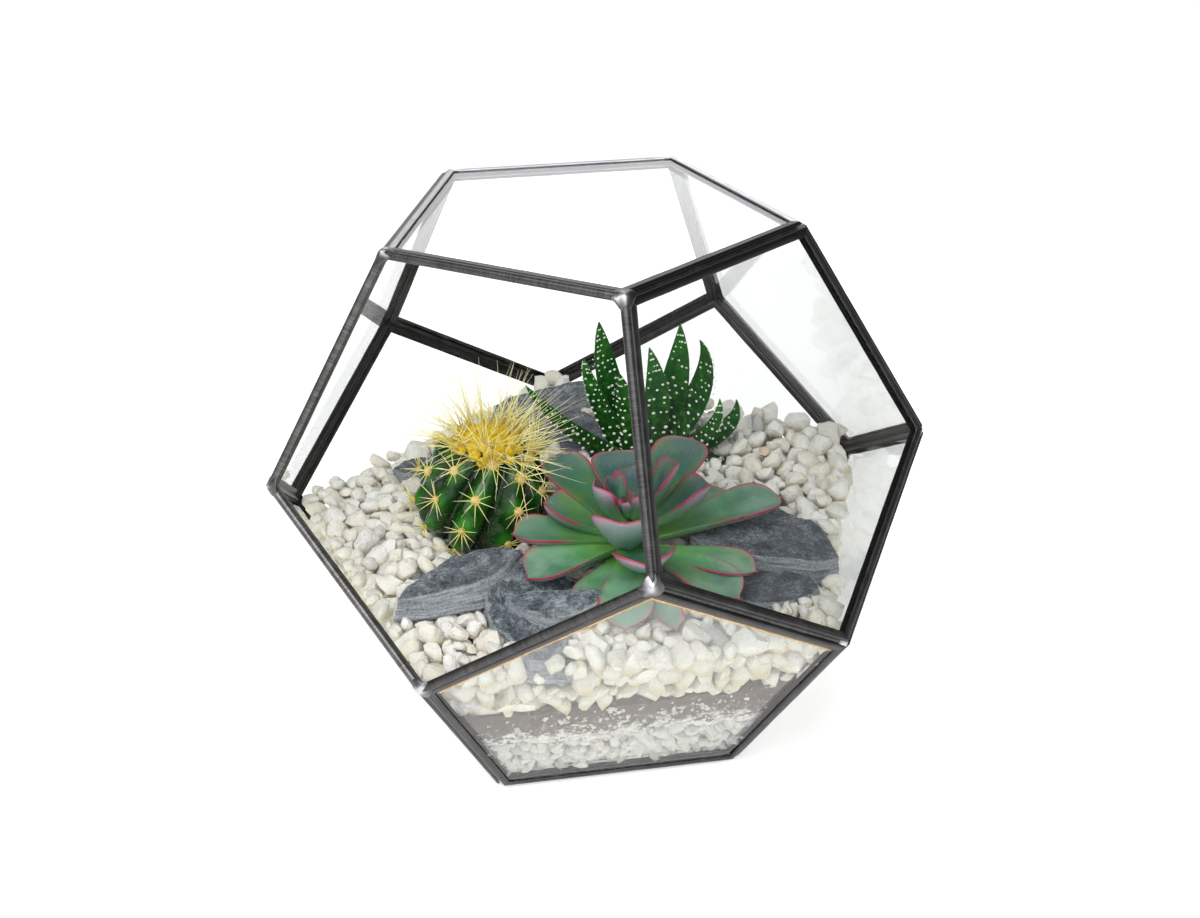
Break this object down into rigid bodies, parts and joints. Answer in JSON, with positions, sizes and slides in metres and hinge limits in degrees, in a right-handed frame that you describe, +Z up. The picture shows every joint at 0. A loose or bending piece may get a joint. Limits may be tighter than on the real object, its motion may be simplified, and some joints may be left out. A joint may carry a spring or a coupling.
{
  "type": "glass plant terrarium",
  "caption": "Dodecahedral glass vessel framed in lead came, with an open face, planted with succulents in layers of grit, soil and white gravel with slate chips.",
  "frame": {"origin": "middle of the underside, where the vessel's base face rests; the bottom centre of the bounding box", "axes": "+Z up from the base face, -Y out through the open face, +X to the right of someone looking in through it"},
  "size_m": [0.2106, 0.2209, 0.1814],
  "materials": {
    "lead_came": "satin",
    "clear_glass": "polished",
    "white_grit": "matte",
    "dark_soil": "matte",
    "white_gravel": "matte",
    "blue_slate": "matte",
    "cactus_skin": "satin",
    "haworthia_skin": "satin",
    "echeveria_skin": "satin"
  },
  "bodies": {
    "root": {"cactus_body": "cactus_skin", "came_base": "lead_came", "came_lower_1": "lead_came", "came_lower_2": "lead_came", "came_lower_3": "lead_came", "came_lower_4": "lead_came", "came_lower_5": "lead_came", "came_top": "lead_came", "came_upper_1": "lead_came", "came_upper_2": "lead_came", "came_upper_3": "lead_came", "came_upper_4": "lead_came", "drainage_grit": "white_grit", "echeveria_heart": "echeveria_skin", "echeveria_leaf_01": "echeveria_skin", "echeveria_leaf_02": "echeveria_skin", "echeveria_leaf_03": "echeveria_skin", "echeveria_leaf_04": "echeveria_skin", "echeveria_leaf_05": "echeveria_skin", "echeveria_leaf_06": "echeveria_skin", "echeveria_leaf_07": "echeveria_skin", "echeveria_leaf_08": "echeveria_skin", "echeveria_leaf_09": "echeveria_skin", "echeveria_leaf_10": "echeveria_skin", "echeveria_leaf_11": "echeveria_skin", "echeveria_leaf_12": "echeveria_skin", "echeveria_leaf_13": "echeveria_skin", "echeveria_leaf_14": "echeveria_skin", "echeveria_leaf_15": "echeveria_skin", "haworthia_core": "haworthia_skin", "haworthia_leaf_01": "haworthia_skin", "haworthia_leaf_02": "haworthia_skin", "haworthia_leaf_03": "haworthia_skin", "haworthia_leaf_04": "haworthia_skin", "haworthia_leaf_05": "haworthia_skin", "haworthia_leaf_06": "haworthia_skin", "haworthia_leaf_07": "haworthia_skin", "haworthia_leaf_08": "haworthia_skin", "haworthia_leaf_09": "haworthia_skin", "pane_base": "clear_glass", "pane_lower_1": "clear_glass", "pane_lower_2": "clear_glass", "pane_lower_3": "clear_glass", "pane_lower_4": "clear_glass", "pane_lower_5": "clear_glass", "pane_top": "clear_glass", "pane_upper_1": "clear_glass", "pane_upper_2": "clear_glass", "pane_upper_3": "clear_glass", "pane_upper_4": "clear_glass", "slate_1": "blue_slate", "slate_2": "blue_slate", "slate_3": "blue_slate", "slate_4": "blue_slate", "slate_5": "blue_slate", "slate_6": "blue_slate", "slate_7": "blue_slate", "slate_8": "blue_slate", "soil_band": "dark_soil", "top_gravel": "white_gravel"}
  },
  "joints": []
}
